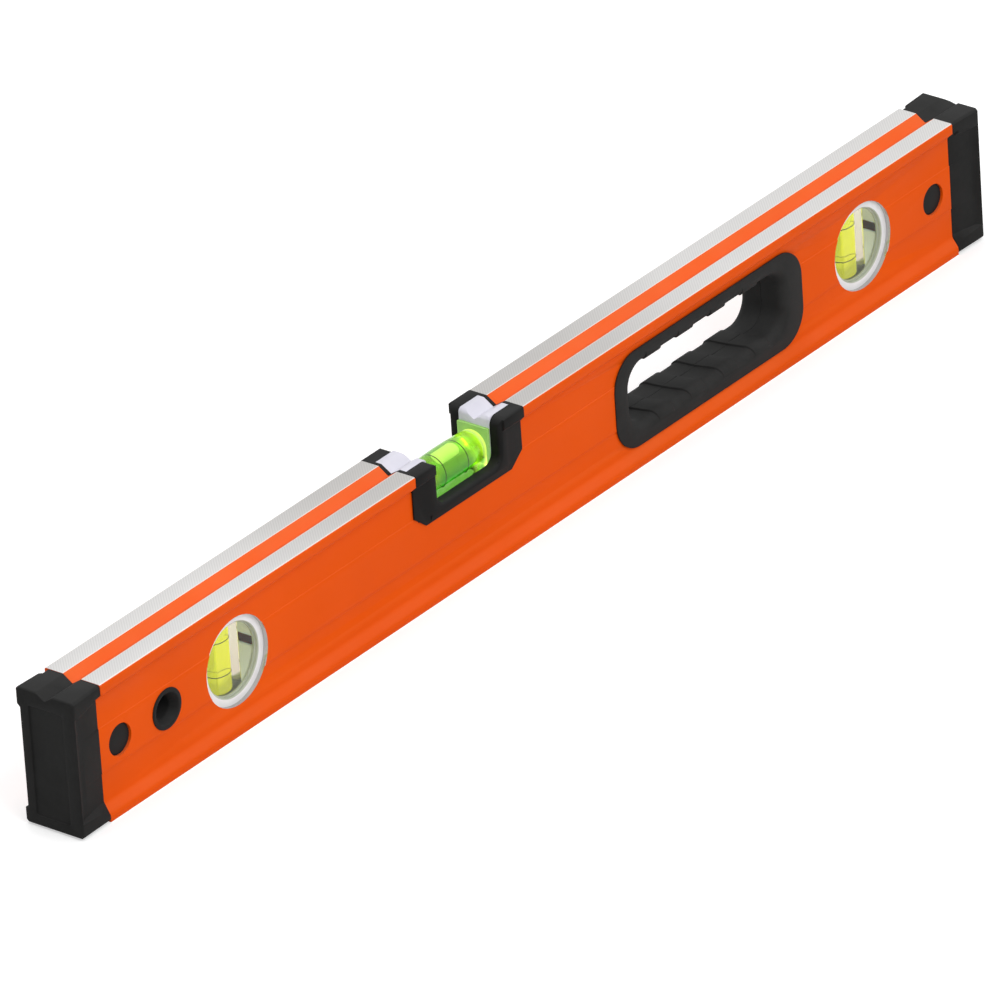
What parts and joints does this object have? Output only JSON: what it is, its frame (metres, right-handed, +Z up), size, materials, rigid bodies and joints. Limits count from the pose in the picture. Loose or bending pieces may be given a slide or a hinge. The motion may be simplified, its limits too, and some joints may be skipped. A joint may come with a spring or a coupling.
{
  "type": "box beam level",
  "caption": "Long box-section aluminium beam level with a top-reading barrel vial, round plumb vials, a lined hand opening, a hang hole and soft end caps on press buttons.",
  "frame": {"origin": "centre of the working face, midway between the end caps", "axes": "+X along the level towards the hand opening, -Y out of the front face, +Z up from the working face to the top rails"},
  "size_m": [0.61, 0.0296, 0.0625],
  "materials": {
    "beam": "orange powder coat, rails and foot milled bare",
    "black_rubber": "matt soft black",
    "black_plastic": "fine matt grain",
    "dark_plastic": "matt",
    "spring_steel": "bright wire",
    "white_plastic": "smooth white",
    "clear_vial": "polished clear",
    "clear_lens": "polished clear",
    "ring_black": "black print",
    "green_liquid": "clear yellow-green",
    "bubble_pale": "clear pale"
  },
  "bodies": {
    "level": {"beam": "beam", "end_cap_left": "black_rubber", "end_cap_right": "black_rubber", "cap_plug_left": "dark_plastic", "cap_plug_right": "dark_plastic", "lock_spring_left": "spring_steel", "lock_spring_right": "spring_steel", "hang_grommet_front": "black_plastic", "hang_grommet_back": "black_plastic", "handle_grip_front": "black_rubber", "handle_grip_back": "black_rubber", "centre_housing_front": "black_plastic", "centre_housing_back": "black_plastic", "centre_cradle": "white_plastic", "centre_vial": "clear_vial", "centre_vial_plug": "clear_vial", "centre_rings": "ring_black", "centre_liquid": "green_liquid", "plumb_left_drum": "white_plastic", "plumb_left_bezel_front": "white_plastic", "plumb_left_bezel_back": "white_plastic", "plumb_left_lens_front": "clear_lens", "plumb_left_lens_back": "clear_lens", "plumb_left_vial": "clear_vial", "plumb_left_plug": "white_plastic", "plumb_left_rings": "ring_black", "plumb_left_liquid": "green_liquid", "plumb_right_drum": "white_plastic", "plumb_right_bezel_front": "white_plastic", "plumb_right_bezel_back": "white_plastic", "plumb_right_lens_front": "clear_lens", "plumb_right_lens_back": "clear_lens", "plumb_right_vial": "clear_vial", "plumb_right_plug": "white_plastic", "plumb_right_rings": "ring_black", "plumb_right_liquid": "green_liquid"},
    "centre_bubble_body": {"centre_bubble": "bubble_pale"},
    "plumb_left_bubble_body": {"plumb_left_bubble": "bubble_pale"},
    "plumb_right_bubble_body": {"plumb_right_bubble": "bubble_pale"},
    "lock_button_left_front_body": {"lock_button_left_front": "black_plastic"},
    "lock_button_left_back_body": {"lock_button_left_back": "black_plastic"},
    "lock_button_right_front_body": {"lock_button_right_front": "black_plastic"},
    "lock_button_right_back_body": {"lock_button_right_back": "black_plastic"}
  },
  "joints": [
    {"name": "centre_bubble_slide", "type": "slide", "parent": "level", "child": "centre_bubble_body", "axis": [1, 0, 0], "range_m": [-0.0095, 0.0095], "stiffness_N_per_m": 2},
    {"name": "plumb_left_bubble_slide", "type": "slide", "parent": "level", "child": "plumb_left_bubble_body", "axis": [0, 0, 1], "range_m": [-0.024, 0], "stiffness_N_per_m": 2, "springref_m": 0.01},
    {"name": "plumb_right_bubble_slide", "type": "slide", "parent": "level", "child": "plumb_right_bubble_body", "axis": [0, 0, 1], "range_m": [-0.024, 0], "stiffness_N_per_m": 2, "springref_m": 0.01},
    {"name": "lock_button_left_front_press", "type": "slide", "parent": "level", "child": "lock_button_left_front_body", "axis": [0, 1, 0], "range_m": [0, 0.0025], "stiffness_N_per_m": 400, "springref_m": -0.002, "deforming": ["lock_spring_left"]},
    {"name": "lock_button_left_back_press", "type": "slide", "parent": "level", "child": "lock_button_left_back_body", "axis": [0, -1, 0], "range_m": [0, 0.0025], "stiffness_N_per_m": 400, "springref_m": -0.002},
    {"name": "lock_button_right_front_press", "type": "slide", "parent": "level", "child": "lock_button_right_front_body", "axis": [0, 1, 0], "range_m": [0, 0.0025], "stiffness_N_per_m": 400, "springref_m": -0.002, "deforming": ["lock_spring_right"]},
    {"name": "lock_button_right_back_press", "type": "slide", "parent": "level", "child": "lock_button_right_back_body", "axis": [0, -1, 0], "range_m": [0, 0.0025], "stiffness_N_per_m": 400, "springref_m": -0.002}
  ]
}
